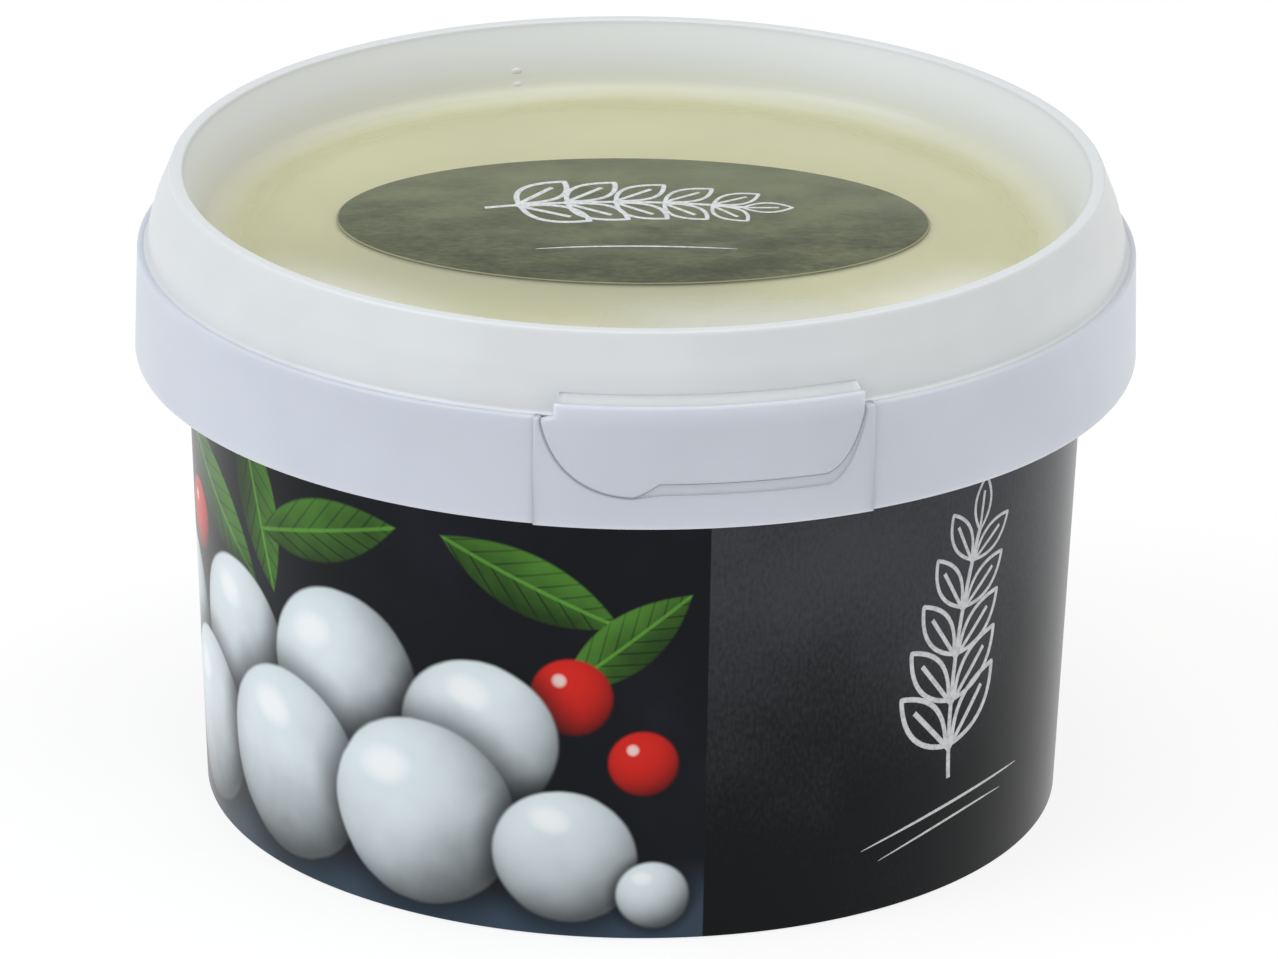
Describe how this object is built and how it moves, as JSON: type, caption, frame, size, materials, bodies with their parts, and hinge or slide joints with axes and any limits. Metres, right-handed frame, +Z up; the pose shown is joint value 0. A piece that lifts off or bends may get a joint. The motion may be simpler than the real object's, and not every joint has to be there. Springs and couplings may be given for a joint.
{
  "type": "tub of goat burrata",
  "caption": "Round shut tub of goat burrata in whey: cup with a hanging collar, press-fit lid with a sunk clear panel and a tear tab, dark wrap-round label, oval lid sticker.",
  "frame": {"origin": "centre of the base, on the plane that the tub stands on", "axes": "+Z up through the lid, -Y towards the front, where the tear tab is"},
  "size_m": [0.095, 0.0951, 0.0615],
  "materials": {
    "white_plastic": "satin white polypropylene",
    "lid_plastic": "translucent polypropylene, clear over the sunk panel",
    "whey": "cloudy pale green-yellow liquid",
    "side_label": "printed film moulded into the wall, satin",
    "lid_sticker": "printed paper, satin"
  },
  "bodies": {
    "root": {"cup": "white_plastic", "lid": "lid_plastic", "whey": "whey", "side_label": "side_label", "lid_sticker": "lid_sticker"}
  },
  "joints": []
}
